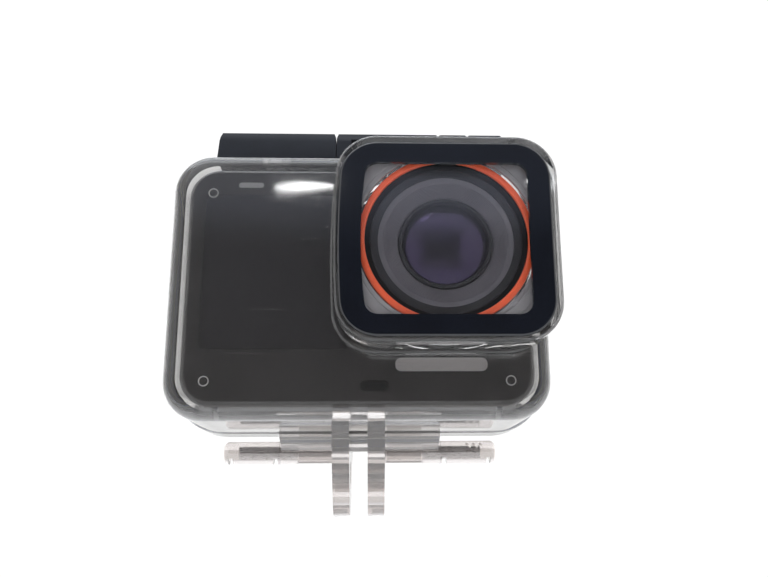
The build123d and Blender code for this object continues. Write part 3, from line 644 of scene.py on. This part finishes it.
wound_spring("shutter_spring", (0, 0, 1), 0.25, 4)
wound_spring("power_spring", (1, 0, 0), 0.16, 2)
wound_spring("lock_spring", (1, 0, 0), 0.18, 5)


# ---------------------------------------------------------------- camera, light and stage

camera_data = bpy.data.cameras.new("camera")
camera_data.sensor_width = 36
camera_data.lens = 38.31
camera_data.shift_x = -0.0299
camera_data.shift_y = 0.0169
camera_data.clip_start = 0.01
camera = bpy.data.objects.new("camera", camera_data)
bpy.context.scene.collection.objects.link(camera)
EYE = Vector((2.67, -155.35, -7.69)) * MM
TURN = math.radians(2.39)
TILT = math.radians(14.78)
ROLL = math.radians(-0.52)
forward = Vector((math.sin(TURN) * math.cos(TILT), math.cos(TURN) * math.cos(TILT), math.sin(TILT)))
flat_right = Vector((math.cos(TURN), -math.sin(TURN), 0))
flat_up = flat_right.cross(forward)
right = flat_right * math.cos(ROLL) + flat_up * math.sin(ROLL)
up = flat_up * math.cos(ROLL) - flat_right * math.sin(ROLL)
camera.matrix_world = Matrix((
    (right.x, up.x, -forward.x, EYE.x),
    (right.y, up.y, -forward.y, EYE.y),
    (right.z, up.z, -forward.z, EYE.z),
    (0, 0, 0, 1)))
bpy.context.scene.camera = camera


def area_light(name, place, aim, size, power, color=(1, 1, 1), shape="RECTANGLE"):
    """Lamp at a place in metres, turned towards its aim."""
    data = bpy.data.lights.new(name, "AREA")
    data.shape = shape
    data.size, data.size_y = size
    data.energy = power
    data.color = color
    lamp = bpy.data.objects.new(name, data)
    bpy.context.scene.collection.objects.link(lamp)
    lamp.location = place
    lamp.rotation_euler = (Vector(aim) - Vector(place)).to_track_quat("-Z", "Y").to_euler()
    return lamp


CENTRE = (Vector(cad_box[0]) + Vector(cad_box[1])) / 2
area_light("top_softbox", (-0.15, -0.12, 0.55), CENTRE, (0.5, 0.4), 1.4, (0.93, 0.96, 1.0))
area_light("streak_light", (-0.055, -0.516, 0.2605), (-0.0107, -0.0163, 0.0507), (0.05, 0.0065), 0.016,
           shape="ELLIPSE")


def ramp_color(tree, source, stops):
    """Colour ramp of (position, colour) stops."""
    node = tree.nodes.new("ShaderNodeValToRGB")
    elements = node.color_ramp.elements
    elements[0].position, elements[0].color = stops[0][0], (*stops[0][1], 1)
    elements[1].position, elements[1].color = stops[-1][0], (*stops[-1][1], 1)
    for place, color in stops[1:-1]:
        elements.new(place).color = (*color, 1)
    tree.links.new(source, node.inputs["Fac"])
    return node.outputs["Color"]


def studio_world():
    """White to the eye; for light it is a white tent, open and dim in front of the part."""
    world = bpy.data.worlds.new("studio")
    world.use_nodes = True
    tree = world.node_tree
    tree.nodes.clear()
    place = tree.nodes.new("ShaderNodeTexCoord")
    split = tree.nodes.new("ShaderNodeSeparateXYZ")
    tree.links.new(place.outputs["Generated"], split.inputs["Vector"])
    half = {}
    for axis in "XYZ":
        shift = tree.nodes.new("ShaderNodeMapRange")
        shift.inputs["From Min"].default_value = -1
        shift.inputs["From Max"].default_value = 1
        tree.links.new(split.outputs[axis], shift.inputs["Value"])
        half[axis] = shift.outputs["Result"]
    # Stops run from 0 to 1: from behind the camera to behind the part, from straight down to
    # straight up, and from the left to the right
    white = (0.95, 0.95, 0.95)
    table = (0.45, 0.43, 0.42)
    none = (0, 0, 0)
    depth = ramp_color(tree, half["Y"], [(0.15, none), (0.32, (0.42, 0.42, 0.42)), (0.6, (0.53, 0.53, 0.53))])
    height = ramp_color(tree, half["Z"], [
        (0.0, table), (0.475, table), (0.51, (0.065, 0.06, 0.056)), (0.66, (0.06, 0.06, 0.063)),
        (0.685, (0.155, 0.165, 0.195)), (0.74, (0.19, 0.2, 0.235)), (0.84, (0.9, 0.93, 0.97))])
    sides = ramp_color(tree, half["X"], [(0.26, white), (0.38, none), (0.62, none), (0.74, white)])
    tent = height
    for other in (depth, sides):
        mix = tree.nodes.new("ShaderNodeMixRGB")
        mix.blend_type = "LIGHTEN"
        mix.inputs["Fac"].default_value = 1.0
        tree.links.new(tent, mix.inputs["Color1"])
        tree.links.new(other, mix.inputs["Color2"])
        tent = mix.outputs["Color"]
    lit = tree.nodes.new("ShaderNodeBackground")
    lit.inputs["Strength"].default_value = 1.8
    tree.links.new(tent, lit.inputs["Color"])
    seen = tree.nodes.new("ShaderNodeBackground")
    seen.inputs["Color"].default_value = (1, 1, 1, 1)
    seen.inputs["Strength"].default_value = 1.05
    path = tree.nodes.new("ShaderNodeLightPath")
    choose = tree.nodes.new("ShaderNodeMixShader")
    output = tree.nodes.new("ShaderNodeOutputWorld")
    tree.links.new(path.outputs["Is Camera Ray"], choose.inputs["Fac"])
    tree.links.new(lit.outputs["Background"], choose.inputs[1])
    tree.links.new(seen.outputs["Background"], choose.inputs[2])
    tree.links.new(choose.outputs["Shader"], output.inputs["Surface"])
    bpy.context.scene.world = world


def floor():
    """Pale floor well below the part, in metres."""
    mesh = bpy.data.meshes.new("floor")
    reach = 0.55
    level = -0.075
    corners = [(-reach, -reach, level), (reach, -reach, level), (reach, reach, level), (-reach, reach, level)]
    mesh.from_pydata(corners, [], [(0, 1, 2, 3)])
    plane = bpy.data.objects.new("floor", mesh)
    bpy.context.scene.collection.objects.link(plane)
    material, shader = new_material("floor")
    shader.inputs["Base Color"].default_value = (0.95, 0.95, 0.95, 1)
    shader.inputs["Roughness"].default_value = 0.9
    mesh.materials.append(material)


studio_world()
floor()
bpy.context.scene.view_settings.view_transform = "Standard"
